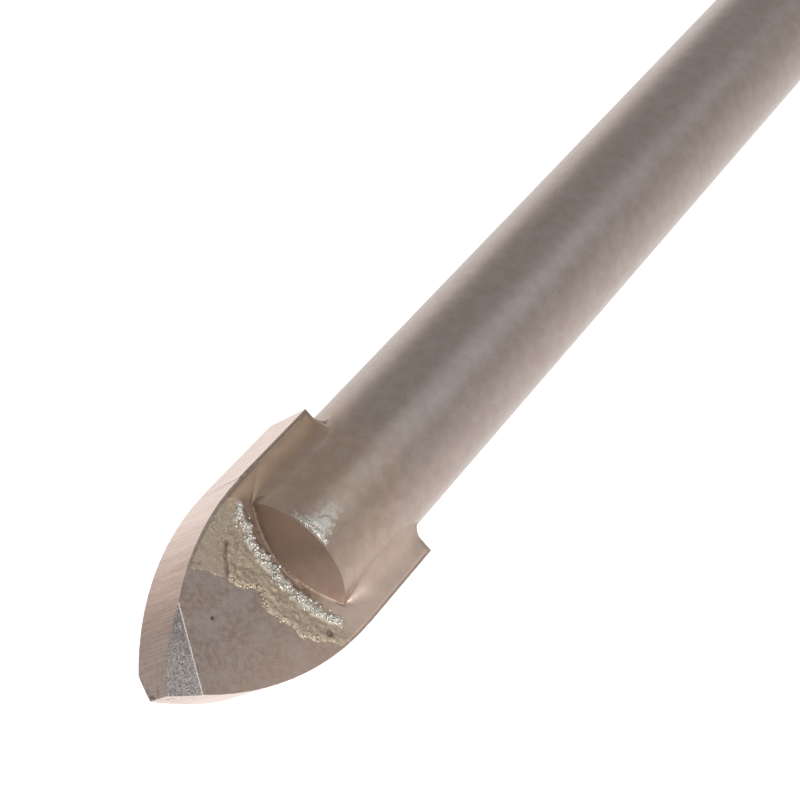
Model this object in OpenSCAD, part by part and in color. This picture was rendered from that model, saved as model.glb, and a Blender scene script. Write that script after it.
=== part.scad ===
// Spear-point drill bit for glass and tile.
// A round steel shank is slotted at its front end. A flat carbide plate, wider than the shank,
// stands edge-on in the slot and is brazed there.
// The bit stands on the rear end of its shank with the point up.

/* [Shank] */
// Diameter of the round shank that the chuck grips
shank_d = 5; // [4.4:0.1:5.6]
// Length from the chisel edge to the rear end of the shank
overall_len = 80; // [50:1:120]
// Chamfer on the rear end of the shank
rear_chamfer = 0.5; // [0.2:0.1:1]
// Length of plate that the two prongs of the shank hold, up to the shoulder of their taper
prong_len = 4.1; // [3:0.1:4.6]
// Included angle of the taper turned on the prong ends
prong_cone = 120; // [100:1:140]
// Fall of the dressed prongs below the shank's radius, from behind the plate to the shoulder
prong_dress = 0.03; // [0.01:0.01:0.06]

/* [Carbide plate] */
// Width across the two cutting sides
plate_w = 6.5; // [6:0.1:8]
// Thickness of the plate
plate_t = 2.1; // [1.6:0.1:2.4]
// Length from the chisel edge to the rear edge of the plate
plate_len = 10.7; // [10:0.1:13]
// Length of the ogive point, from the chisel edge to the parallel sides
point_len = 6.9; // [5.5:0.1:7.5]
// Relief angle of the parallel sides
side_relief = 5; // [2:0.5:7]
// Relief angle of the ground point
point_relief = 5.5; // [4:0.5:9]
// Step that the point grind leaves below the parallel sides
grind_step = 0.01; // [0.01:0.01:0.05]
// Length of chisel edge left between the two thinning facets
chisel_len = 0.9; // [0.5:0.1:1.3]
// Slope of a thinning facet from the face of the plate
facet_slope = 33; // [25:1:45]
// Turn of a thinning facet across the point
facet_turn = 32; // [15:1:40]

/* [Braze] */
// Thickness of the braze film between the plate and the slot
braze_gap = 0.08; // [0.05:0.01:0.15]
// Radius of the hollow fillet along the sides of each prong
prong_fillet_r = 1.4; // [0.8:0.1:1.5]
// Radius of the hollow fillet between the rear corners of the plate and the shank
ear_fillet_r = 0.45; // [0.3:0.05:0.6]
// Angle at which a fillet meets the metal
wetting_angle = 12; // [8:1:25]
// Radius of the bead round the end of each prong
bead_r = 0.22; // [0.15:0.01:0.3]
// Thickness of the flash on the faces of the plate
flash_t = 0.06; // [0.04:0.01:0.1]
// Reach of the flash from the prong shoulder towards the point
flash_reach = 2.3; // [1.8:0.1:2.6]
// Margin between the flash and the edges of the plate
flash_margin = 0.15; // [0.12:0.01:0.3]

/* [Hidden] */
$fn = 96;

steel = [0.54, 0.49, 0.46];
carbide = [0.47, 0.43, 0.41];
brass = [0.64, 0.58, 0.48];

// Allowance by which cutting shapes run past the metal
over = 1;

shank_r = shank_d / 2;
half_w = plate_w / 2;
half_t = plate_t / 2;
half_slot = half_t + braze_gap;

// Heights along the bit, measured from the chisel edge
shoulder_z = plate_len - prong_len;
cone_slope = tan(prong_cone / 2);
shoulder_r = shank_r - prong_dress;
apex_z = shoulder_z - shoulder_r / cone_slope;
// Where the dressed front end runs out into the plain round
dress_z = plate_len + 2 * ear_fillet_r;

// Distances from the bit's axis to the ground surfaces, square to each surface
side_reach = half_w * cos(side_relief) - half_t * sin(side_relief);
point_reach = (half_w - grind_step) * cos(point_relief) - half_t * sin(point_relief);
// Radius of the point's arc, through the chisel edge and tangent to the sides
ogive_r = (pow(point_reach, 2) + pow(point_len, 2)) / (2 * point_reach);

// Half-width of the plate at the heel, the relieved edge of each side
heel_w = half_w - plate_t * tan(side_relief);
// Half-width of the heel at a height on the point
function heel_at(z) = z > point_len
    ? heel_w
    : (point_reach - ogive_r + sqrt(pow(ogive_r, 2) - pow(point_len - z, 2)) - half_t * sin(point_relief))
        / cos(point_relief);

// Where the sides and the middle of a prong's taper meet the face of the plate
prong_w = sqrt(pow(shoulder_r, 2) - pow(half_t, 2));
prong_low_z = apex_z + half_t / cone_slope;
prong_sag = shoulder_z - prong_low_z;
bead_path_r = (pow(prong_w, 2) + pow(prong_sag, 2)) / (2 * prong_sag);

// Ragged lower edge of the flash: shares of the plate's half-width and of the flash's reach
flash_edge = [[0.62, 1.35], [0.5, 1.2], [0.3, 1.1], [0.15, 1], [0.03, 0.85], [-0.05, 1],
              [-0.16, 1], [-0.4, 0.9], [-0.65, 0.8], [-0.75, 0.5], [-0.88, 0.4]];
flash_steps = 5;

// Stands the bit on its rear end; the heights above run down from the chisel edge
module stand() {
    translate([0, 0, overall_len])
        rotate([180, 0, 0])
            children();
}

// Repeats a shape on the other face of the bit
module both_faces() {
    for (turn = [0, 180])
        rotate([0, 0, turn])
            children();
}

// Repeats a shape on the other side of one face
module both_sides() {
    for (side = [0, 1])
        mirror([side, 0, 0])
            children();
}

module shank_blank() {
    rotate_extrude()
        polygon([[0, apex_z], [shoulder_r, shoulder_z], [shank_r, dress_z],
                 [shank_r, overall_len - rear_chamfer], [shank_r - rear_chamfer, overall_len],
                 [0, overall_len]]);
}

module slot() {
    translate([-shank_r - over, -half_slot, apex_z - over])
        cube([shank_d + 2 * over, 2 * half_slot, plate_len + braze_gap - apex_z + over]);
}

module shank_body() {
    difference() {
        shank_blank();
        slot();
    }
}

// Metal ground off one parallel side
module side_grind() {
    rotate([0, 0, side_relief])
        translate([side_reach, -plate_t, -over])
            cube([plate_w, 2 * plate_t, plate_len + 2 * over]);
}

// Metal ground off one flank of the point
module point_grind() {
    rotate([0, 0, point_relief])
        difference() {
            translate([-over, -plate_t, -2 * over])
                cube([plate_w, 2 * plate_t, point_len + 2 * over]);
            translate([point_reach - ogive_r, 0, point_len])
                rotate([90, 0, 0])
                    cylinder(r = ogive_r, h = 3 * plate_t, center = true);
        }
}

// Metal ground off one face to thin the chisel edge
module facet_grind() {
    translate([0, chisel_len / 2, 0])
        rotate([-facet_slope, -facet_turn, 0])
            translate([-plate_w, 0, -plate_w])
                cube(2 * plate_w);
}

module plate_body() {
    difference() {
        translate([-half_w - over, -half_t, -over])
            cube([plate_w + 2 * over, plate_t, plate_len + over]);
        both_faces() {
            side_grind();
            point_grind();
            facet_grind();
        }
    }
}

// Braze that fills the slot round the plate
module slot_film() {
    intersection() {
        shank_blank();
        slot();
    }
}

// Hollow fillet between one side of a prong and the face of the plate
module prong_fillet() {
    fillet_y = half_t + prong_fillet_r * cos(wetting_angle);
    span = sqrt(pow(shank_r, 2) + pow(prong_fillet_r, 2) + 2 * shank_r * prong_fillet_r * cos(wetting_angle));
    fillet_x = sqrt(pow(span, 2) - pow(fillet_y, 2));
    translate([0, 0, shoulder_z])
        linear_extrude(prong_len - flash_margin)
            difference() {
                polygon([[fillet_x * half_t / fillet_y, half_t], [fillet_x, half_t], [fillet_x, fillet_y]]);
                translate([fillet_x, fillet_y])
                    circle(prong_fillet_r);
            }
}

// Hollow fillet between the rear edge of the plate and the shank, on both rear corners
module ear_fillet() {
    centre = ear_fillet_r * cos(wetting_angle);
    intersection() {
        translate([0, 0, plate_len])
            rotate_extrude()
                difference() {
                    translate([shank_r - braze_gap, 0])
                        square([centre + braze_gap, centre]);
                    translate([shank_r + centre, centre])
                        circle(ear_fillet_r);
                }
        translate([-plate_w, -half_t, 0])
            cube([2 * plate_w, plate_t, overall_len]);
    }
}

// Round bead along the edge where a prong's taper meets the face
module bead() {
    intersection() {
        translate([0, half_t, prong_low_z - bead_r + bead_path_r])
            rotate([90, 0, 0])
                rotate_extrude()
                    translate([bead_path_r, 0])
                        circle(bead_r);
        translate([-prong_w - bead_r, 0, 0])
            cube([2 * (prong_w + bead_r), shank_r, shoulder_z + bead_r]);
    }
}

// Thin flash that ran over the face of the plate, from its rear edge to a ragged front edge
module flash() {
    heel_side = [for (i = [0:flash_steps])
        let (z = plate_len - flash_margin - i * (plate_len - shoulder_z + flash_reach) / flash_steps)
        [heel_at(z) - flash_margin, z]];
    front = [for (p = flash_edge) [p[0] * half_w, shoulder_z - p[1] * flash_reach]];
    lip_side = [[-heel_w, shoulder_z], [-heel_w, plate_len - flash_margin]];
    translate([0, half_t + flash_t, 0])
        rotate([90, 0, 0])
            linear_extrude(flash_t)
                polygon(concat(heel_side, front, lip_side));
}

module shank() {
    color(steel)
        stand()
            shank_body();
}

module carbide_tip() {
    color(carbide)
        stand()
            plate_body();
}

module braze() {
    color(brass)
        stand()
            difference() {
                union() {
                    slot_film();
                    ear_fillet();
                    both_faces() {
                        both_sides()
                            prong_fillet();
                        bead();
                        flash();
                    }
                }
                shank_body();
                plate_body();
            }
}

shank();
carbide_tip();
braze();
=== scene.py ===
"""Looks of the spear-point drill bit: materials, the solidified braze, light and camera."""
import math

import bmesh
import bpy
import numpy as np
from mathutils import Matrix, Vector


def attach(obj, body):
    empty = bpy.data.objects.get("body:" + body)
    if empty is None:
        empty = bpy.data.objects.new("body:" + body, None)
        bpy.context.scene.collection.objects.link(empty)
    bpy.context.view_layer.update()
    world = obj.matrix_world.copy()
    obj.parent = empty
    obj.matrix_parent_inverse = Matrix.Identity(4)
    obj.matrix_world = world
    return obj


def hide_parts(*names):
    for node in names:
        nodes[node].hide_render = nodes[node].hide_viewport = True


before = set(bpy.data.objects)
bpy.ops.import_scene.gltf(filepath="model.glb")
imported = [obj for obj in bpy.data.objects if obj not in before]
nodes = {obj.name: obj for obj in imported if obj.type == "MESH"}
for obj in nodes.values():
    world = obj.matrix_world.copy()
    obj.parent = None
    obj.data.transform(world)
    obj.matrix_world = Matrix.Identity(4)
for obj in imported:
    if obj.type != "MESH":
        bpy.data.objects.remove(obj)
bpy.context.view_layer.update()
scene = bpy.context.scene

# Sizes in millimetres as the photo shows the bit: x across the plate to the right, y out of its face towards
# the camera, z from the chisel edge to the rear
MM_PER_M = 1000
# Allowance for rounding, and margin at the faces of the plate
TINY, MARGIN = 0.001, 0.01
OVERALL = 80.0
SHANK_R, SHOULDER_R = 2.5, 2.47
SHOULDER_Z, DRESS_Z = 6.6, 11.6
CONE_SLOPE = math.tan(math.radians(60))
APEX_Z = SHOULDER_Z - SHOULDER_R / CONE_SLOPE
HALF_T, HALF_W, PLATE_LEN, POINT_LEN = 1.05, 3.25, 10.7, 6.9
SIDE_RELIEF, POINT_RELIEF, GRIND_STEP = math.radians(5), math.radians(5.5), 0.01
POINT_REACH = (HALF_W - GRIND_STEP) * math.cos(POINT_RELIEF) - HALF_T * math.sin(POINT_RELIEF)
OGIVE_R = (POINT_REACH ** 2 + POINT_LEN ** 2) / (2 * POINT_REACH)
HEEL_W = HALF_W - 2 * HALF_T * math.tan(SIDE_RELIEF)

# Braze: cell of its height fields, their front end, depth of their lower skin, and the film in the slot
STEP, FIELD_FRONT, SKIN, GAP = 0.05, 2.4, 0.09, 0.08
# Flash on the face: thickness, and depth of its fissure and of its pit
FLASH_T, FISSURE_DEPTH, PIT_DEPTH = 0.04, 0.04, 0.028
# Height behind which the wide hollows beside the prong take over from the small one on its taper
SIDES_Z = 6.45
# Wide hollows beside the prong: full radius, its loss at the rear edge of the plate, and its least value,
# which is also the depth of the seams
HOLLOW_R, HOLLOW_LOSS, SEAM = 1.42, 0.5, 0.004
# Hollows at the rear corners: radius, angle at which they meet the metal, and reach of their ends in y
EAR_R, WETTING, EAR_WRAP = 0.6, math.radians(12), 1.42
# Points round the arc of such a hollow, and its rows past each face of the plate and between the faces
ARC_POINTS, WRAP_ROWS, MIDDLE_ROWS = 12, 12, 25
# Numbers of small drops, and their flattened shape
BEAD_DROPS, RIM_DROPS, SMEAR_DROPS = 230, 75, 60
DROP_SHAPE = (1.1, 0.55, 1.1)
# Seeds of the front face and of the turned back one, the step from these to the seeds of their drops, and
# the seed of the corner hollows
FRONT_SEED, BACK_SEED, DROP_STEP, EAR_SEED = 11, 41, 8, 77
# Masks that the braze carries for its paint
MASKS = ("bead", "brown", "rim", "smear", "dark", "stain", "ahead", "merge", "darkened")

# Lines and a place read off the photo, across the plate and along the bit from the chisel edge
BEAD_LINE = [(-2.49, 6.22), (-2.18, 5.86), (-1.67, 5.76), (-1.36, 5.5), (-0.7, 5.5), (-0.12, 5.45),
             (0.47, 5.43), (1.41, 5.57), (2.15, 5.78), (2.44, 6.06)]
FLASH_LINE = [(-3.4, 2.6), (-2.6, 2.9), (-2.17, 3.29), (-1.68, 3.72), (-1.07, 3.99), (-0.57, 4.22),
              (-0.08, 4.64), (0.24, 4.32), (0.53, 4.31), (1.19, 4.47), (1.86, 4.64), (2.3, 4.9),
              (2.62, 5.2), (2.95, 5.45), (3.4, 5.7)]
RIM_LINE = FLASH_LINE[4:12]
FISSURE = [(-1.96, 4.95), (-1.7, 4.55), (-1.42, 4.35), (-1.05, 3.91)]
FLASH_PIT = (2.48, 5.5)
SMEAR = [(-1.05, 6.7), (-0.6, 6.76), (0.1, 6.8)]
SMEAR_MID = [(-0.45, 7.0), (-0.2, 7.2)]

# Stain on the shank behind the smear, edge between a thinning facet and the face, and pit in the face
STAIN_START, STAIN_END = (-0.5, 2.43, 7.2), (-0.3, 2.45, 8.2)
FACET_TOP, FACET_LOW = (-1.652, 1.05, 2.122), (0.754, 1.05, 0.619)
FACE_PIT_X, FACE_PIT_Z = -0.63, 2.68


def to_world(pts):
    """Points in those millimetres, as world metres with the bit standing point up and its face to -Y."""
    pts = np.asarray(pts, float)
    return np.stack([-pts[..., 0], -pts[..., 1], OVERALL - pts[..., 2]], -1) / MM_PER_M


def smoothstep(lo, hi, v):
    """Smooth change from 0 at lo to 1 at hi."""
    t = np.clip((v - lo) / (hi - lo), 0, 1)
    return t * t * (3 - 2 * t)


def value_noise(x, z, cell, seed):
    """Smooth noise from -1 to 1 on a lattice of the given cell size."""
    span, shift = 256, 64
    table = np.random.default_rng(seed).uniform(-1, 1, (span, span))
    u, v = np.asarray(x) / cell + shift, np.asarray(z) / cell + shift
    i, j = np.floor(u).astype(int), np.floor(v).astype(int)
    a, b = u - i, v - j
    a, b = a * a * (3 - 2 * a), b * b * (3 - 2 * b)

    def at(p, q):
        return table[p % span, q % span]

    low = at(i, j) * (1 - a) + at(i + 1, j) * a
    high = at(i, j + 1) * (1 - a) + at(i + 1, j + 1) * a
    return low * (1 - b) + high * b


def polyline_distance(x, z, line):
    """Distance from a line of straight stretches."""
    best = np.full(x.shape, 1e9)
    for (x0, z0), (x1, z1) in zip(line[:-1], line[1:]):
        length = math.hypot(x1 - x0, z1 - z0)
        t = np.clip(((x - x0) * (x1 - x0) + (z - z0) * (z1 - z0)) / length ** 2, 0, 1)
        best = np.minimum(best, np.hypot(x - x0 - t * (x1 - x0), z - z0 - t * (z1 - z0)))
    return best


def read_line(line, first):
    """Second coordinate of a line at values of its first one, which rises along the line."""
    return np.interp(first, [p[0] for p in line], [p[1] for p in line])


def line_marks(line):
    """Running length at each point of a line."""
    lengths = [math.hypot(b[0] - a[0], b[1] - a[1]) for a, b in zip(line[:-1], line[1:])]
    return np.cumsum([0] + lengths)


def along(line, share):
    """The point at a share of a line's length."""
    marks = line_marks(line)
    run = share * marks[-1]
    return np.interp(run, marks, [p[0] for p in line]), np.interp(run, marks, [p[1] for p in line])


def face_edges(z):
    """The plate's left and right edges on its front face: the heel and the cutting edge."""
    arc = POINT_REACH - OGIVE_R + np.sqrt(np.maximum(OGIVE_R ** 2 - np.maximum(POINT_LEN - z, 0) ** 2, 0))
    heel = np.minimum((arc - HALF_T * math.sin(POINT_RELIEF)) / math.cos(POINT_RELIEF), HEEL_W)
    lip = np.minimum((arc + HALF_T * math.sin(POINT_RELIEF)) / math.cos(POINT_RELIEF), HALF_W)
    return -heel, lip


class Face:
    """Grid over one face of the plate, with the prong's surface and the noises that roughen the braze."""

    def __init__(self, seed):
        self.seed = seed
        across = np.arange(-HALF_W, HALF_W + TINY, STEP)
        lengthwise = np.arange(FIELD_FRONT, PLATE_LEN + TINY, STEP)
        self.x, self.z = np.meshgrid(across, lengthwise, indexing="ij")
        dressed = np.clip((self.z - SHOULDER_Z) / (DRESS_Z - SHOULDER_Z), 0, 1)
        radius = SHOULDER_R + (SHANK_R - SHOULDER_R) * dressed
        self.reach = np.clip((self.z - APEX_Z) * CONE_SLOPE, 0, radius)
        self.prong = np.sqrt(np.maximum(self.reach ** 2 - self.x ** 2, 0))
        self.metal = np.maximum(HALF_T, self.prong)
        self.on_prong = self.prong > HALF_T
        left, right = face_edges(self.z)
        self.edge = np.minimum(np.minimum(self.x - left, right - self.x), PLATE_LEN - self.z)
        self.fine = self.noise(0.13, 0)
        self.grain = self.noise(0.075, 1)
        self.broad = self.noise(0.7, 2)
        self.ragged = self.noise(0.3, 3)

    def noise(self, cell, shift):
        return value_noise(self.x, self.z, cell, self.seed + shift)


def flash_film(face):
    """Thin film over the face, with a grainy rim along its ragged front edge: its height and its masks."""
    x, z, fine, grain = face.x, face.z, face.fine, face.grain
    line = polyline_distance(x, z, FLASH_LINE)
    inside = np.where(z > read_line(FLASH_LINE, x), line, -line) + 0.04 * fine + 0.05 * face.ragged
    fissure_x = read_line([(cz, cx) for cx, cz in reversed(FISSURE)], z)
    stain = smoothstep(0.1, -0.15, x - fissure_x) * smoothstep(6.3, 5.5, z)
    ahead = smoothstep(6.5, 5.7, z)
    thick = smoothstep(0, 0.22, inside) * (1 - stain) + 0.35 * smoothstep(0, 0.7, inside) * stain
    rim = np.exp(-((inside - 0.12) / 0.1) ** 2) * smoothstep(-0.5, 0.7, fine + 0.6 * grain) * (1 - stain)
    rim = rim * smoothstep(2.75, 2.3, x)
    rough = (0.013 * grain + 0.014 * fine) * smoothstep(0.05, 0.3, inside) * ahead * (1 - 0.6 * stain)
    film = FLASH_T * thick * (1 + 0.3 * face.broad) + 0.012 * rim + rough
    film = film * smoothstep(0.04, 0.22, face.edge) - 0.05 * smoothstep(0.02, -0.04, inside)
    film = film - 0.05 * smoothstep(0.09, 0.03, face.edge)
    masks = {"rim": rim * (inside > -0.05), "stain": stain * smoothstep(1.2, 0.1, inside), "ahead": ahead}
    return film, masks


def bead_lumps(face):
    """Bead of small solidified drops just ahead of the prong's edge: its height and its mask."""
    rng = np.random.default_rng(face.seed + 4)
    height, mask = np.zeros(face.x.shape), np.zeros(face.x.shape)
    length = line_marks(BEAD_LINE)[-1]
    run = 0.0
    while run < length:
        width = np.interp(run, [0, 0.8, 3.6, length], [0.05, 0.15, 0.15, 0.08])
        cx, cz = along(BEAD_LINE, run / length)
        cx += rng.uniform(-width, width)
        cz += rng.uniform(-0.8, 1.4) * width
        size = rng.uniform(0.07, 0.14)
        away = np.hypot(face.x - cx, face.z - cz)
        height = np.maximum(height, np.sqrt(np.maximum(size ** 2 - away ** 2, 0)) * 0.3)
        mask = np.maximum(mask, smoothstep(size * 1.2, size * 0.3, away) * rng.uniform(0.2, 0.75))
        run += rng.uniform(0.018, 0.045)
    return height, mask


def taper_hollow(face, top):
    """Small hollow where the film climbs the taper of the prong: new top, share of film and dark shade."""
    lit = smoothstep(0.2, 1.4, face.x)
    fade = smoothstep(SIDES_Z, 6.3, face.z)
    reach_up = (0.17 - 0.1 * lit) * fade + TINY
    share = np.clip(0.5 + 0.5 * (top - face.prong) / reach_up, 0, 1)
    past = np.maximum(face.prong - top - reach_up, 0)
    climbed = face.prong + (top - face.prong) * share + reach_up * share * (1 - share)
    climbed = climbed - 0.022 * (1 - share) ** 2 - 0.06 * past
    # Painted shade over the hollow, stronger on the lit side, and along its crease
    crease = 0.85 * lit * smoothstep(0.22, 0.04, np.abs(top - face.prong)) * smoothstep(6.65, 6.55, face.z)
    shade = np.maximum(4 * share * (1 - share) * fade * (0.25 + 0.65 * lit), crease)
    return np.where((past < 0.35) & (face.z < SIDES_Z), climbed, top), share, shade


def side_hollows(face, top):
    """Wide round hollows between the sides of the prong and the face, running out under its surface."""
    off_axis = np.abs(face.x)
    wide = SEAM + HOLLOW_R * smoothstep(SIDES_Z, 8.0, face.z)
    wide = wide - HOLLOW_LOSS * smoothstep(PLATE_LEN - 0.6, PLATE_LEN, face.z)
    local = np.maximum(face.reach, HALF_T + MARGIN)
    centre = np.sqrt((local + wide) ** 2 - (HALF_T + wide) ** 2)
    touch = centre * local / (local + wide)
    outer = np.clip((off_axis - touch) / np.maximum(centre - touch, 1e-6), 0, 1)
    hollow = HALF_T + wide - np.sqrt(np.maximum(wide ** 2 - np.minimum(off_axis - centre, 0) ** 2, 0))
    hollow = hollow + (top - HALF_T) * (0.3 + 0.7 * outer) * smoothstep(0, 0.3, outer)
    under = face.metal - 0.25 * np.maximum(touch - 0.1 - off_axis, 0)
    sink = SEAM + 0.014 * smoothstep(0.12, 0, outer) + 0.06 * smoothstep(7.0, 6.6, face.z)
    climb = np.maximum(np.where(off_axis > touch, hollow, under) - sink, HALF_T + MARGIN)
    beside = (face.z > SIDES_Z) & (off_axis < centre)
    return np.where(beside, climb, top), outer, touch


def smear_patch(face):
    """Cover of the rough bright smear left on the shoulder of the prong, from 0 to 1."""
    ragged = 0.13 * face.fine + 0.1 * face.grain
    strip = smoothstep(0.12, -0.12, polyline_distance(face.x, face.z, SMEAR) - 0.13 + ragged)
    middle = smoothstep(0.16, -0.14, polyline_distance(face.x, face.z, SMEAR_MID) - 0.2 + ragged)
    return np.maximum(strip, middle) * face.on_prong * (face.z > SHOULDER_Z + 0.02)


def grow(keep):
    """Kept points and their neighbours."""
    grown = keep.copy()
    grown[1:] |= keep[:-1]
    grown[:-1] |= keep[1:]
    grown[:, 1:] |= keep[:, :-1]
    grown[:, :-1] |= keep[:, 1:]
    return grown


def braze_face(seed):
    """Top of the braze on one face as a height field, with the points to keep and masks for its paint."""
    face = Face(seed)
    x, z, metal, on_prong = face.x, face.z, face.metal, face.on_prong
    film, masks = flash_film(face)
    lump, masks["bead"] = bead_lumps(face)
    groove = smoothstep(0.07, 0.02, polyline_distance(x, z, FISSURE))
    pit = smoothstep(0.17, 0.06, np.hypot((x - FLASH_PIT[0]) * 0.8, z - FLASH_PIT[1]))
    top = HALF_T + film + lump - FISSURE_DEPTH * groove - PIT_DEPTH * pit
    top, share, shade = taper_hollow(face, top)
    top, outer, touch = side_hollows(face, top)

    # The smear stands on the steel, and the sheet round it stays just below
    patch = smear_patch(face)
    covered = patch > 0.08
    level = 0.04 * patch - 0.01 + 0.016 * (face.grain + 0.6 * face.fine) * patch
    raised = level * (1 - 0.65 * smoothstep(6.95, 7.2, z))
    top = np.where(covered, np.maximum(top, metal + raised), top)
    close = on_prong & (z > SHOULDER_Z + 0.02) & (z < 9.2) & (np.abs(x + 0.4) < 1.2)
    top = np.where(close, np.maximum(top, metal - 0.014), top)

    # Points far under the metal are left out
    sides = z > SIDES_Z
    keep = (top > metal - 0.3) & np.where(on_prong & sides, np.abs(x) > touch - 0.2, True) | covered
    keep = keep & (on_prong | (top > metal - 0.035))
    kept = grow(keep) & (face.edge > 0.025)

    brown = smoothstep(0.05, 0.2, z - read_line(BEAD_LINE, x)) * smoothstep(7.1, 6.3, z)
    masks["brown"] = brown * smoothstep(-2.75, -2.4, x) * smoothstep(1.7, 0.9, x)
    masks["smear"] = patch
    # The fissure and the pit, with the painted shade of the taper hollow
    masks["dark"] = np.maximum(np.maximum(groove, pit), shade)
    merge = np.where(sides, smoothstep(0.55, 0.0, outer), smoothstep(0.35, 0.05, share))
    masks["merge"] = np.where(patch > 0, 1, merge)
    return x, z, top, kept, masks


def grid_mesh(x, z, top, kept, masks, turned):
    """Closed mesh of one height field: the kept cells, a lower skin in the metal and walls between them."""
    cell = kept[:-1, :-1] & kept[1:, :-1] & kept[:-1, 1:] & kept[1:, 1:]
    used = np.zeros(x.shape, bool)
    for a in (0, 1):
        for b in (0, 1):
            used[a:used.shape[0] - 1 + a, b:used.shape[1] - 1 + b] |= cell
    index = np.full(x.shape, -1)
    index[used] = np.arange(used.sum())
    sign = -1.0 if turned else 1.0
    upper = np.stack([sign * x[used], sign * top[used], z[used]], -1)
    lower = np.stack([sign * x[used], sign * (top[used] - SKIN), z[used]], -1)
    count = len(upper)
    ci, cj = np.nonzero(cell)
    quads = np.stack([index[ci, cj], index[ci, cj + 1], index[ci + 1, cj + 1], index[ci + 1, cj]], -1)
    faces = [quads, quads[:, ::-1] + count]
    padded = np.pad(cell, 1)
    for di, dj, corners in ((-1, 0, ((0, 0), (0, 1))), (1, 0, ((1, 1), (1, 0))),
                            (0, -1, ((1, 0), (0, 0))), (0, 1, ((0, 1), (1, 1)))):
        border = cell & ~padded[1 + di:padded.shape[0] - 1 + di, 1 + dj:padded.shape[1] - 1 + dj]
        bi, bj = np.nonzero(border)
        a = index[bi + corners[0][0], bj + corners[0][1]]
        b = index[bi + corners[1][0], bj + corners[1][1]]
        faces.append(np.stack([b, a, a + count, b + count], -1))
    skin_masks = {key: np.concatenate([mask[used], mask[used] * 0]) for key, mask in masks.items()}
    return np.concatenate([upper, lower]), np.concatenate(faces), skin_masks


def drop_places(rng):
    """Places, sizes and kinds of the small drops along the bead, the rim of the flash and the smear."""
    places = []
    for _ in range(BEAD_DROPS):
        share = rng.uniform(0, 1)
        spread = np.interp(share, [0, 0.15, 0.7, 1], [0.05, 0.16, 0.17, 0.12])
        cx, cz = along(BEAD_LINE, share)
        cx += rng.normal(0, 0.6) * spread
        cz += rng.normal(0.25, 0.7) * spread
        places.append((cx, cz, rng.uniform(0.025, 0.06), "bead"))
    for _ in range(RIM_DROPS):
        cx, cz = along(RIM_LINE, rng.uniform(0, 1))
        cx += rng.normal(0, 0.03)
        cz += 0.12 + rng.normal(0, 0.06)
        places.append((cx, cz, rng.uniform(0.03, 0.06), "rim"))
    for _ in range(SMEAR_DROPS):
        cx, cz = along(SMEAR, rng.uniform(0, 1))
        cx += rng.normal(0, 0.07)
        cz += rng.normal(0.02, 0.08)
        places.append((cx, cz, rng.uniform(0.02, 0.04), "smear"))
    return places


def drops_mesh(field, seed, turned):
    """Small uneven drops, half sunk in the braze: silvery along the bead and the smear, tan along the rim."""
    x, z, top, kept = field[:4]
    rng = np.random.default_rng(seed)
    ball = bmesh.new()
    bmesh.ops.create_icosphere(ball, subdivisions=1, radius=1)
    ball_pts = np.array([v.co for v in ball.verts])
    ball_faces = np.array([[v.index for v in f.verts] for f in ball.faces])
    ball.free()
    pts, faces = [], []
    masks = {"bead": [], "rim": [], "smear": [], "ahead": [], "merge": []}
    sign = -1.0 if turned else 1.0
    for cx, cz, size, kind in drop_places(rng):
        i, j = int(round((cx - x[0, 0]) / STEP)), int(round((cz - z[0, 0]) / STEP))
        if not (0 <= i < x.shape[0] and 0 <= j < x.shape[1] and kept[i, j]):
            continue
        if kind == "smear" and cz < SHOULDER_Z + 0.03:
            continue
        centre = np.array([sign * cx, sign * (top[i, j] - 0.1 * size), cz])
        faces.append(ball_faces + len(pts) * len(ball_pts))
        uneven = rng.uniform(0.7, 1.3, 3) * DROP_SHAPE
        pts.append((ball_pts + rng.normal(0, 0.12, ball_pts.shape)) * size * uneven + centre)
        tone = {kind: rng.uniform(0.6, 1), "merge" if kind == "smear" else "ahead": 1.0}
        for key in masks:
            masks[key].append(np.full(len(ball_pts), tone.get(key, 0.0)))
    return np.concatenate(pts), np.concatenate(faces), {key: np.concatenate(v) for key, v in masks.items()}


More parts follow.
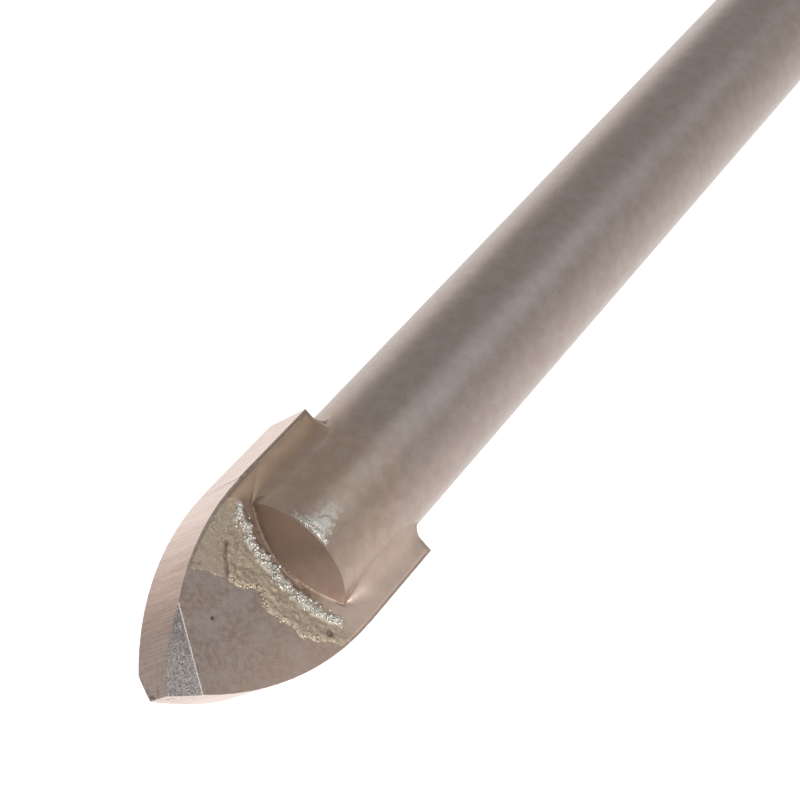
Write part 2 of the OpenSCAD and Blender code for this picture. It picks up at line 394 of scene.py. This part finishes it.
def ear_mesh(side):
    """Hollow between the rear edge of the plate and the round of the shank, on one side of the bit."""
    centre = EAR_R * math.cos(WETTING)
    turns = np.linspace(WETTING, math.pi / 2 - WETTING, ARC_POINTS)
    arc = [(centre - EAR_R * math.cos(t), centre - EAR_R * math.sin(t)) for t in turns]
    foot = arc[-1][0]
    profile = [(-GAP, centre), *arc, (foot, -SKIN), (-GAP, -SKIN)]
    end_r = SEAM + HOLLOW_R - HOLLOW_LOSS
    end_x = math.sqrt((SHANK_R + end_r) ** 2 - (HALF_T + end_r) ** 2)
    wrapped = np.linspace(HALF_T + MARGIN, EAR_WRAP, WRAP_ROWS)
    middle = np.linspace(MARGIN - HALF_T, HALF_T - MARGIN, MIDDLE_ROWS)
    rows = []
    for y in np.concatenate([-wrapped[::-1], middle, wrapped]):
        scale = 1 + 0.05 * float(value_noise(np.array(y + side * 9), np.array(2.0), 0.4, EAR_SEED))
        scale *= math.sqrt(1 - (y / 2.4) ** 2)
        # Past the faces of the plate it narrows to the ends of the sheets, and its tips sink into the steel
        if abs(y) > HALF_T:
            hollow_x = end_x - math.sqrt(max(end_r ** 2 - (HALF_T + end_r - abs(y)) ** 2, 0))
            width = math.hypot(hollow_x, y) - SHANK_R - SEAM
            scale = min(max(width / foot, 0.01), scale)
        sunk_r = SHANK_R - 0.03 * float(smoothstep(1.25, 1.4, abs(y)))
        rows.append([(side * math.sqrt((sunk_r + (a * scale if a > 0 else a)) ** 2 - y * y), y,
                      PLATE_LEN + (b * scale if b > 0 else b)) for a, b in profile])
    count = len(profile)
    pts = np.array(rows).reshape(-1, 3)
    last = len(pts) - count
    faces = []
    for start in range(0, last, count):
        for j in range(count):
            k = (j + 1) % count
            faces.append((start + j, start + k, start + count + k, start + count + j))
    faces += [tuple(range(count)), tuple(last + j for j in reversed(range(count)))]
    clear = np.hypot(pts[:, 0], pts[:, 1]) - SHANK_R
    wrap = smoothstep(0.95, 1.15, np.abs(pts[:, 1])) * smoothstep(-0.3, 0.3, side * pts[:, 1])
    return pts, faces, {"merge": smoothstep(0.3, 0.02, clear), "darkened": wrap}


def joined(parts):
    """One mesh from several, with zeros for the masks that a part lacks."""
    points, faces, count = [], [], 0
    masks = {key: [] for key in MASKS}
    for pts, part_faces, part_masks in parts:
        points.append(pts)
        faces += [[int(i) + count for i in part_face] for part_face in part_faces]
        for key in MASKS:
            masks[key].append(part_masks.get(key, np.zeros(len(pts))))
        count += len(pts)
    return np.concatenate(points), faces, {key: np.concatenate(v) for key, v in masks.items()}


def mesh_object(name, pts, faces, masks):
    """Object with smooth shading, from points in millimetres."""
    mesh = bpy.data.meshes.new(name)
    mesh.from_pydata([tuple(p) for p in to_world(pts)], [], faces)
    for key, values in masks.items():
        mesh.attributes.new(key, "FLOAT", "POINT").data.foreach_set("value", np.asarray(values, np.float32))
    mesh.validate()
    obj = bpy.data.objects.new(name, mesh)
    scene.collection.objects.link(obj)
    mesh.shade_smooth()
    return obj


def turn_outwards(obj):
    """Makes all the faces of a mesh look outwards."""
    bpy.context.view_layer.objects.active = obj
    obj.select_set(True)
    bpy.ops.object.mode_set(mode="EDIT")
    bpy.ops.mesh.select_all(action="SELECT")
    bpy.ops.mesh.normals_make_consistent(inside=False)
    bpy.ops.object.mode_set(mode="OBJECT")


def sharpen(obj, levels):
    """Marks the edges that lie at given heights as sharp."""
    for edge in obj.data.edges:
        heights = [OVERALL - MM_PER_M * obj.data.vertices[i].co.z for i in edge.vertices]
        edge.use_edge_sharp = any(max(abs(h - level) for h in heights) < TINY for level in levels)


def srgb(r, g, b):
    """A colour written in 0 to 255 screen values, as linear red, green, blue and alpha."""
    def lin(v):
        v /= 255
        return v / 12.92 if v <= 0.04045 else ((v + 0.055) / 1.055) ** 2.4
    return (lin(r), lin(g), lin(b), 1)


class Network:
    """Short calls for building a material's nodes."""

    def __init__(self, name):
        self.mat = bpy.data.materials.new(name)
        self.mat.use_nodes = True
        self.tree = self.mat.node_tree
        self.tree.nodes.clear()
        self.out = self.add("ShaderNodeOutputMaterial")

    def add(self, kind, **values):
        node = self.tree.nodes.new(kind)
        for key, value in values.items():
            setattr(node, key, value)
        return node

    def put(self, socket, value):
        if isinstance(value, bpy.types.NodeSocket):
            self.tree.links.new(value, socket)
        else:
            socket.default_value = value

    def bit(self):
        """Coordinates in the bit's own frame, in millimetres."""
        coords = self.add("ShaderNodeTexCoord")
        mapping = self.add("ShaderNodeMapping", vector_type="POINT")
        mapping.inputs["Location"].default_value = (0, 0, OVERALL)
        mapping.inputs["Scale"].default_value = (-MM_PER_M, -MM_PER_M, -MM_PER_M)
        self.put(mapping.inputs["Vector"], coords.outputs["Object"])
        return mapping.outputs["Vector"]

    def stretch(self, vector, scale, turn=(0, 0, 0)):
        mapping = self.add("ShaderNodeMapping", vector_type="POINT")
        mapping.inputs["Scale"].default_value = scale
        mapping.inputs["Rotation"].default_value = [math.radians(a) for a in turn]
        self.put(mapping.inputs["Vector"], vector)
        return mapping.outputs["Vector"]

    def noise(self, vector, scale, detail=3.0, rough=0.55):
        node = self.add("ShaderNodeTexNoise")
        self.put(node.inputs["Vector"], vector)
        self.put(node.inputs["Scale"], scale)
        self.put(node.inputs["Detail"], detail)
        self.put(node.inputs["Roughness"], rough)
        return node.outputs["Fac"]

    def step(self, value, lo, hi, out_lo=0.0, out_hi=1.0):
        node = self.add("ShaderNodeMapRange", interpolation_type="SMOOTHSTEP", clamp=True)
        self.put(node.inputs["Value"], value)
        for key, v in (("From Min", lo), ("From Max", hi), ("To Min", out_lo), ("To Max", out_hi)):
            self.put(node.inputs[key], v)
        return node.outputs["Result"]

    def calc(self, op, a, b=0.0, clamp=False):
        node = self.add("ShaderNodeMath", operation=op, use_clamp=clamp)
        self.put(node.inputs[0], a)
        self.put(node.inputs[1], b)
        return node.outputs["Value"]

    def plus(self, a, b):
        return self.calc("ADD", a, b)

    def minus(self, a, b):
        return self.calc("SUBTRACT", a, b)

    def times(self, a, b):
        return self.calc("MULTIPLY", a, b)

    def larger(self, a, b):
        return self.calc("MAXIMUM", a, b)

    def size(self, a):
        return self.calc("ABSOLUTE", a)

    def mix(self, fac, a, b):
        node = self.add("ShaderNodeMix", data_type="RGBA")
        self.put(node.inputs["Factor"], fac)
        self.put(node.inputs[6], a)
        self.put(node.inputs[7], b)
        return node.outputs[2]

    def mixed(self, fac, a, b):
        node = self.add("ShaderNodeMix", data_type="FLOAT")
        self.put(node.inputs["Factor"], fac)
        self.put(node.inputs[2], a)
        self.put(node.inputs[3], b)
        return node.outputs[0]

    def xyz(self, vector):
        node = self.add("ShaderNodeSeparateXYZ")
        self.put(node.inputs["Vector"], vector)
        return node.outputs["X"], node.outputs["Y"], node.outputs["Z"]

    def attribute(self, name):
        return self.add("ShaderNodeAttribute", attribute_name=name).outputs["Fac"]

    def bump(self, height, distance, strength=1.0, normal=None):
        node = self.add("ShaderNodeBump")
        self.put(node.inputs["Height"], height)
        self.put(node.inputs["Distance"], distance / MM_PER_M)
        self.put(node.inputs["Strength"], strength)
        if normal is not None:
            self.put(node.inputs["Normal"], normal)
        return node.outputs["Normal"]

    def line_gap(self, bit, start, end):
        """Distance in millimetres from a straight line through two points of the bit's frame."""
        off = self.add("ShaderNodeVectorMath", operation="SUBTRACT")
        self.put(off.inputs[0], bit)
        off.inputs[1].default_value = start
        cross = self.add("ShaderNodeVectorMath", operation="CROSS_PRODUCT")
        self.put(cross.inputs[0], off.outputs["Vector"])
        cross.inputs[1].default_value = (Vector(end) - Vector(start)).normalized()
        length = self.add("ShaderNodeVectorMath", operation="LENGTH")
        self.put(length.inputs[0], cross.outputs["Vector"])
        return length.outputs["Value"]

    def surface(self, colour, metallic, rough, normal):
        node = self.add("ShaderNodeBsdfPrincipled")
        self.put(node.inputs["Base Color"], colour)
        self.put(node.inputs["Metallic"], metallic)
        self.put(node.inputs["Roughness"], rough)
        self.put(node.inputs["Normal"], normal)
        self.tree.links.new(node.outputs["BSDF"], self.out.inputs["Surface"])
        return self.mat


def steel_look(net, bit):
    """Colour, roughness and fine specks of the shank."""
    x, y, z = net.xyz(bit)
    across = net.times(x, net.calc("SIGN", y))
    blotch = net.noise(bit, 0.7, 4)
    cloud = net.noise(bit, 2.2, 4)
    speck = net.noise(bit, 14, 3)

    # Heat tint near the braze
    warm = net.plus(z, net.times(net.minus(blotch, 0.5), 9))
    plain = net.mix(net.step(cloud, 0.3, 0.72), srgb(166, 152, 146), srgb(174, 162, 156))
    tinted = net.mix(net.step(cloud, 0.38, 0.66), srgb(173, 153, 140), srgb(180, 163, 148))
    colour = net.mix(net.step(warm, 14.0, 8.0), plain, tinted)

    # Brown ends of the prongs, with painted light that makes them lighter on the heel side
    end = net.step(z, SHOULDER_Z + 0.03, SHOULDER_Z - 0.03)
    brown = net.mix(net.step(cloud, 0.3, 0.7), srgb(140, 117, 104), srgb(150, 128, 113))
    brown = net.mix(net.step(across, 0.4, -1.5), brown, srgb(174, 147, 129))
    brown = net.mix(net.step(across, 0.2, 1.6), brown, srgb(147, 127, 115))
    colour = net.mix(end, colour, brown)
    colour = net.mix(net.step(speck, 0.6, 0.75, 0, 0.22), colour, srgb(198, 190, 184))
    colour = net.mix(net.step(speck, 0.42, 0.25, 0, 0.04), colour, srgb(128, 112, 102))

    # Pale stain behind the smear
    front = net.add("ShaderNodeCombineXYZ")
    for key, value in (("X", across), ("Y", net.size(y)), ("Z", z)):
        net.put(front.inputs[key], value)
    gap = net.plus(net.line_gap(front.outputs["Vector"], STAIN_START, STAIN_END),
                   net.step(net.noise(bit, 5, 4), 0.3, 0.7, 0.2, -0.2))
    ends = net.times(net.step(z, 8.6, 7.6), net.step(z, 6.7, 7.0))
    stain = net.times(net.step(gap, 0.34, 0.08), ends)
    stain = net.times(stain, net.step(speck, 0.36, 0.6, 0.25, 0.75))
    colour = net.mix(stain, colour, srgb(204, 200, 190))

    rough = net.plus(net.step(speck, 0.3, 0.7, 0.27, 0.35), net.times(end, 0.15))
    rough = net.plus(rough, net.times(stain, 0.15))
    return colour, rough, speck


def shank_material():
    """Turned steel with fine rings."""
    net = Network("shank_steel")
    bit = net.bit()
    colour, rough, speck = steel_look(net, bit)
    rings = net.noise(net.stretch(bit, (0.6, 0.6, 30)), 1.0, 2)
    normal = net.bump(rings, 0.003, 0.5)
    normal = net.bump(speck, 0.008, 0.14, normal)
    return net.surface(colour, 0.92, rough, normal)


def face_colour(net, bit, mottle, grit):
    """Mottled faces of the plate, with painted light that makes them lighter towards the cutting edge."""
    x = net.xyz(bit)[0]
    blotch = net.noise(bit, 0.9, 3)
    colour = net.mix(net.step(mottle, 0.3, 0.7), srgb(131, 116, 107), srgb(153, 138, 129))
    colour = net.mix(net.step(blotch, 0.42, 0.66, 0, 0.65), colour, srgb(151, 142, 136))
    # Painted light: lighter towards the cutting edge
    colour = net.mix(net.step(x, -0.2, 3.0, 0, 0.5), colour, srgb(182, 159, 145))
    return net.mix(net.step(grit, 0.42, 0.28, 0, 0.5), colour, srgb(108, 95, 88))


def flank_colour(net, bit, lines, painted_step_light):
    """Ground flanks: lines, a stretch of painted shade, chips and specks near the chisel edge, and painted
    light at the grind's step.
    """
    x, _, z = net.xyz(bit)
    streak = net.step(lines, 0.3, 0.7)
    colour = net.mix(streak, srgb(203, 182, 172), srgb(222, 203, 194))
    # Painted shade: the left flank gets darker towards the chisel edge, and less so right at it
    darkened = net.minus(net.step(z, 5.6, 2.6, 0, 1.0), net.step(z, 2.2, 0.6, 0, 0.7))
    darkened = net.times(darkened, net.step(x, 0.2, -0.3))
    colour = net.mix(darkened, colour, net.mix(streak, srgb(162, 137, 125), srgb(184, 161, 149)))
    chips = net.noise(net.stretch(bit, (5, 5, 3)), 1.0, 3, 0.6)
    bright = net.times(net.step(chips, 0.5, 0.6, 0, 0.6), net.step(z, 1.5, 0.7))
    colour = net.mix(bright, colour, srgb(214, 192, 178))
    dark = net.times(net.step(chips, 0.42, 0.36, 0, 0.5), net.step(z, 1.1, 0.4))
    colour = net.mix(dark, colour, srgb(120, 98, 88))
    specks = net.times(net.step(net.noise(bit, 6, 2), 0.4, 0.34, 0, 0.8), net.step(z, 1.0, 0.6))
    colour = net.mix(net.times(specks, net.step(x, -0.4, 0.0)), colour, srgb(122, 96, 88))
    # Painted light at the grind's step
    return net.mix(painted_step_light, colour, srgb(255, 252, 250))


def carbide_material():
    """Sintered carbide: matt faces, ground flanks, and gritty facets with a painted highlight along their
    edges to the faces.
    """
    net = Network("carbide")
    bit = net.bit()
    _, y, z = net.xyz(bit)
    turn = net.add("ShaderNodeVectorTransform", vector_type="NORMAL",
                   convert_from="WORLD", convert_to="OBJECT")
    net.put(turn.inputs["Vector"], net.add("ShaderNodeNewGeometry").outputs["True Normal"])
    _, normal_y, normal_z = net.xyz(turn.outputs["Vector"])
    face = net.step(net.size(normal_y), 0.95, 0.99)
    flank = net.step(net.size(normal_y), 0.3, 0.2)
    mottle = net.noise(bit, 5.0, 4, 0.65)
    grit = net.noise(bit, 17, 3, 0.7)
    spark = net.noise(bit, 19, 2)
    lines = net.noise(net.stretch(bit, (1.2, 0.5, 17), (7, 0, 0)), 1.0, 3)
    # Painted light: near white on the wall of the grind's step and in a thin band along it, where the step
    # would cut off the flank's grazing reflection
    from_step = net.size(net.minus(z, POINT_LEN))
    step_band = net.step(from_step, 0.14, 0.06)
    wall = net.times(step_band, net.step(net.size(normal_z), 0.3, 0.7))
    painted_step_light = net.larger(wall, net.step(from_step, 0.045, 0.02))

    colour = net.mix(net.step(grit, 0.33, 0.62), srgb(142, 133, 130), srgb(204, 196, 193))
    colour = net.mix(net.step(z, 0.7, 1.9, 0, 0.45), colour, srgb(126, 117, 113))
    colour = net.mix(flank, colour, flank_colour(net, bit, lines, painted_step_light))
    colour = net.mix(face, colour, face_colour(net, bit, mottle, grit))
    # Painted glints of the grains: bright specks, most on the facets, and fainter ones all over
    ground = net.times(net.minus(1.0, face), net.step(flank, 0, 1, 0.85, 0.12))
    colour = net.mix(net.times(net.step(spark, 0.56, 0.64), ground), colour, srgb(236, 232, 229))
    colour = net.mix(net.step(spark, 0.68, 0.74, 0, 0.6), colour, srgb(214, 206, 200))
    pit = net.line_gap(bit, (FACE_PIT_X, 0, FACE_PIT_Z), (FACE_PIT_X, 2, FACE_PIT_Z))
    pit = net.plus(pit, net.step(y, 0.5, 0, 0, 1))
    colour = net.mix(net.step(pit, 0.09, 0.04), colour, srgb(92, 80, 74))
    # Painted highlight along the edge between each thinning facet and the face
    for end in (1, -1):
        top = (FACET_TOP[0] * end, FACET_TOP[1] * end, FACET_TOP[2])
        low = (FACET_LOW[0] * end, FACET_LOW[1] * end, FACET_LOW[2])
        painted_edge_highlight = net.plus(net.line_gap(bit, top, low), net.step(grit, 0.3, 0.7, -0.01, 0.03))
        colour = net.mix(net.step(painted_edge_highlight, 0.042, 0.015), colour, srgb(220, 215, 211))

    rough = net.plus(net.step(grit, 0.3, 0.7, 0.34, 0.44), net.times(face, 0.12))
    rough = net.minus(rough, net.times(flank, 0.1))

    # Softened edges, apart from those of the grind's step, which a short ramp leads up to
    soft = net.add("ShaderNodeBevel", samples=6)
    soft.inputs["Radius"].default_value = 0.02 / MM_PER_M
    plain = net.add("ShaderNodeMix", data_type="VECTOR")
    net.put(plain.inputs["Factor"], net.times(flank, step_band))
    net.put(plain.inputs[4], soft.outputs["Normal"])
    net.put(plain.inputs[5], net.add("ShaderNodeNewGeometry").outputs["Normal"])
    rise = net.plus(net.times(grit, 0.6), net.times(mottle, 0.8))
    strength = net.minus(net.plus(0.35, net.times(face, 0.3)), net.times(flank, 0.27))
    normal = net.bump(rise, 0.022, strength, plain.outputs[1])
    normal = net.bump(lines, 0.005, net.times(flank, 0.8), normal)
    ramp = net.calc("MULTIPLY", net.minus(z, POINT_LEN - 0.25), 4.0, clamp=True)
    normal = net.bump(ramp, 0.06, net.times(flank, net.step(z, POINT_LEN + 0.02, POINT_LEN)), normal)
    return net.surface(colour, 0.9, rough, normal)


def braze_material():
    """Solidified braze: tan and grainy ahead of the prong, silvery drops, like steel where it runs out."""
    net = Network("braze")
    bit = net.bit()
    x, y, _ = net.xyz(bit)
    across = net.times(x, net.calc("SIGN", y))
    cloud = net.noise(bit, 1.7, 4)
    grain = net.noise(bit, 13, 3, 0.65)
    fine = net.noise(bit, 30, 2)
    rim, ahead, merge, darkened = (net.attribute(key) for key in ("rim", "ahead", "merge", "darkened"))

    colour = net.mix(net.step(cloud, 0.35, 0.7), srgb(172, 152, 138), srgb(186, 167, 150))
    # Painted shade on the heel side, a darker olive, and painted light towards the cutting edge, a lighter
    # pink
    colour = net.mix(net.step(across, -1.2, -2.4, 0, 0.7), colour, srgb(164, 138, 115))
    colour = net.mix(net.step(across, 1.0, 2.2, 0, 0.6), colour, srgb(190, 172, 161))
    grainy = net.mix(net.step(grain, 0.38, 0.66), srgb(152, 138, 121), srgb(177, 163, 144))
    colour = net.mix(ahead, colour, grainy)
    colour = net.mix(net.times(net.attribute("stain"), 0.9), colour, srgb(160, 144, 130))
    colour = net.mix(net.times(rim, 0.5), colour, srgb(180, 167, 147))
    colour = net.mix(net.times(net.attribute("brown"), 0.9), colour, srgb(128, 107, 94))
    steel_colour, steel_rough, _ = steel_look(net, bit)
    colour = net.mix(merge, colour, steel_colour)
    smear = net.times(net.attribute("smear"), net.step(grain, 0.36, 0.6, 0.25, 1.0))
    silver = net.times(net.larger(net.attribute("bead"), smear), net.step(fine, 0.3, 0.6, 0.5, 1.0))
    colour = net.mix(silver, colour, srgb(212, 213, 208))
    # Darker at the fissure and the pit, and painted shade in the taper hollow
    colour = net.mix(net.times(net.attribute("dark"), 0.85), colour, srgb(96, 80, 70))
    colour = net.mix(net.times(darkened, 0.15), colour, srgb(120, 104, 94))

    rough = net.mixed(merge, net.step(grain, 0.3, 0.7, 0.42, 0.54), steel_rough)
    rough = net.plus(rough, net.times(net.larger(silver, rim), 0.12))
    rough = net.mixed(darkened, rough, 0.6)
    normal = net.bump(grain, 0.02, net.plus(0.15, net.times(ahead, 0.6)))
    normal = net.bump(fine, 0.02, net.times(silver, 0.4), normal)
    return net.surface(colour, 0.9, rough, normal)


def floor_material():
    """White floor that keeps shadows.

    In reflections it is bright behind the bit and at its right, and shades off ahead of it.
    """
    net = Network("floor")
    paper = net.add("ShaderNodeBsdfDiffuse")
    paper.inputs["Color"].default_value = (0.8, 0.8, 0.8, 1)
    path = net.add("ShaderNodeLightPath")
    seen = net.larger(path.outputs["Is Camera Ray"], path.outputs["Is Transmission Ray"])
    white = net.add("ShaderNodeEmission")
    both = net.add("ShaderNodeAddShader")
    net.put(both.inputs[0], paper.outputs[0])
    net.put(both.inputs[1], white.outputs[0])

    # Direction from the bit, as a unit vector
    x, y, _ = net.xyz(net.add("ShaderNodeTexCoord").outputs["Object"])
    squares = net.plus(net.times(x, x), net.times(y, y))
    away = net.plus(net.calc("SQRT", squares), 0.004)
    x, y = net.calc("DIVIDE", x, away), net.calc("DIVIDE", y, away)
    net.put(white.inputs["Strength"], net.times(seen, net.step(away, 0.1, 0.9, 0.45, 0.9)))

    across = net.plus(net.times(x, -0.62), net.times(y, 0.78))
    behind = net.larger(net.step(across, -0.82, 1.06, 0.48, 1.1), net.step(y, 0.0, 0.6, 0.48, 1.2))
    ahead = net.minus(net.times(x, 0.156), net.times(y, 0.988))
    soft = net.step(ahead, 0.84, 1.0, 0, 0.47)
    shade = net.add("ShaderNodeEmission")
    tint = net.mix(net.times(soft, 2.0), (1.0, 0.965, 0.945, 1), (0.94, 1.0, 1.06, 1))
    net.put(shade.inputs["Color"], tint)
    net.put(shade.inputs["Strength"], net.plus(behind, soft))
    pick = net.add("ShaderNodeMixShader")
    net.put(pick.inputs[0], path.outputs["Is Glossy Ray"])
    net.put(pick.inputs[1], both.outputs[0])
    net.put(pick.inputs[2], shade.outputs[0])
    net.put(net.out.inputs["Surface"], pick.outputs[0])
    return net.mat


def set_material(obj, material):
    obj.data.materials.clear()
    obj.data.materials.append(material)


set_material(nodes["shank"], shank_material())
set_material(nodes["carbide_tip"], carbide_material())

# The braze of both faces and both rear corners is one piece
parts = []
for turned, seed in ((False, FRONT_SEED), (True, BACK_SEED)):
    field = braze_face(seed)
    parts += [grid_mesh(*field, turned), drops_mesh(field, seed + DROP_STEP, turned)]
parts += [ear_mesh(-1), ear_mesh(1)]
braze = mesh_object("braze_metal", *joined(parts))
turn_outwards(braze)
# The sheets' ends and the corner hollows' walls are sharp, so that no light line shows between them
sharpen(braze, (PLATE_LEN - SKIN, PLATE_LEN - STEP, PLATE_LEN))
set_material(braze, braze_material())
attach(braze, "root")
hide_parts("braze")

bpy.ops.mesh.primitive_plane_add(size=8, location=(0, 0, 0))
floor = bpy.context.object
floor.name = "floor"
set_material(floor, floor_material())

# Sky that is brighter behind the bit and at its right
world = bpy.data.worlds.new("studio")
scene.world = world
world.use_nodes = True
sky = world.node_tree
sky_dir = sky.nodes.new("ShaderNodeTexCoord")
sky_dot = sky.nodes.new("ShaderNodeVectorMath")
sky_dot.operation = "DOT_PRODUCT"
sky_dot.inputs[1].default_value = (-0.7, 0.45, 0.0)
sky_ramp = sky.nodes.new("ShaderNodeMapRange")
for key, value in (("From Min", -0.9), ("From Max", 0.9), ("To Min", 0.34), ("To Max", 0.66)):
    sky_ramp.inputs[key].default_value = value
sky.links.new(sky_dir.outputs["Generated"], sky_dot.inputs[0])
sky.links.new(sky_dot.outputs["Value"], sky_ramp.inputs["Value"])
sky.links.new(sky_ramp.outputs["Result"], sky.nodes["Background"].inputs["Strength"])
sky.nodes["Background"].inputs["Color"].default_value = (1.0, 0.985, 0.97, 1)


def lamp(name, place, aim, size, power):
    """Round area light, in metres and watts."""
    light = bpy.data.lights.new(name, "AREA")
    light.shape = "DISK"
    light.size = size
    light.energy = power
    obj = bpy.data.objects.new(name, light)
    scene.collection.objects.link(obj)
    obj.location = place
    obj.rotation_euler = (Vector(aim) - Vector(place)).to_track_quat("-Z", "Y").to_euler()


LAMP_AIM, LAMP_SIZE = (0, 0, 0.07), 0.3
lamp("key", (-0.36, -0.14, 0.2), LAMP_AIM, LAMP_SIZE, 2.2)
lamp("fill", (-0.05, -0.5, 0.12), LAMP_AIM, LAMP_SIZE, 0.7)

# Camera fitted to the photo, given in the bit's frame in millimetres
EYE = (-9.961, 56.756, -31.510)
RIGHT = (0.65613, 0.53799, 0.52921)
DOWN = (0.74436, -0.34593, -0.57120)
FORWARD = (0.12423, -0.76870, 0.62743)
FOCAL_PX, PICTURE_PX, SENSOR_MM = 2135.657, 800, 36


def as_world(direction):
    """A direction of the bit's frame, in the world."""
    return -Vector(direction)


cam_data = bpy.data.cameras.new("camera")
cam_data.sensor_width = SENSOR_MM
cam_data.lens = FOCAL_PX * SENSOR_MM / PICTURE_PX
cam_data.clip_start, cam_data.clip_end = 0.001, 20
cam = bpy.data.objects.new("camera", cam_data)
scene.collection.objects.link(cam)
right, up, back = as_world(RIGHT), -as_world(DOWN), -as_world(FORWARD)
cam.matrix_world = Matrix.Translation(to_world(EYE)) @ Matrix((right, up, back)).transposed().to_4x4()
scene.camera = cam

scene.view_settings.view_transform = "Standard"
